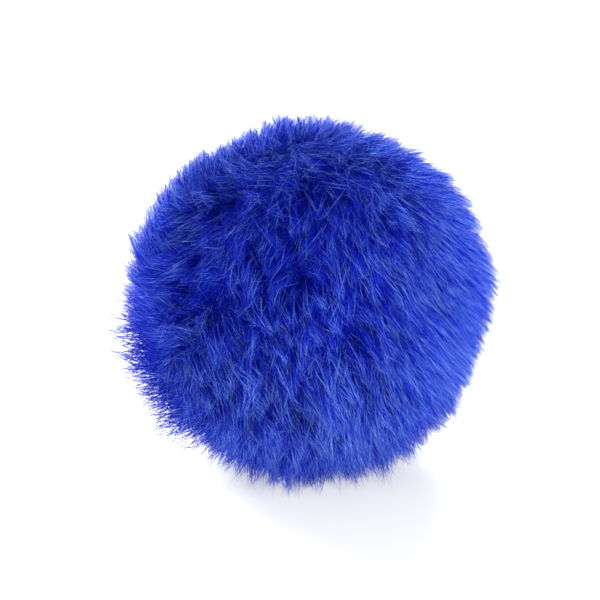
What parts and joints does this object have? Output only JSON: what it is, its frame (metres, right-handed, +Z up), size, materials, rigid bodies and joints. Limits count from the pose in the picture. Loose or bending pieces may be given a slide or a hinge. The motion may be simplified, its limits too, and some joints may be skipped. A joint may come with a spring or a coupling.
{
  "type": "fur pom pom",
  "caption": "Round fur pompom: a ball of gathered fabric with long, soft locks of pile that lean away from a crown, standing on the blunt tips of its lowest locks.",
  "frame": {"origin": "the middle of the flat spot on which the ball rests, on the blunt tip of its lowest lock", "axes": "+Z up, -Y towards the front, the side that the fur's crown leans to, +X to the right as seen from the front"},
  "size_m": [0.0815, 0.0814, 0.0789],
  "materials": {
    "fur": "soft long pile of fine royal-blue fibre, matt with a slight sheen along the fibres"
  },
  "bodies": {
    "root": {"fur_ball": "fur"}
  },
  "joints": []
}
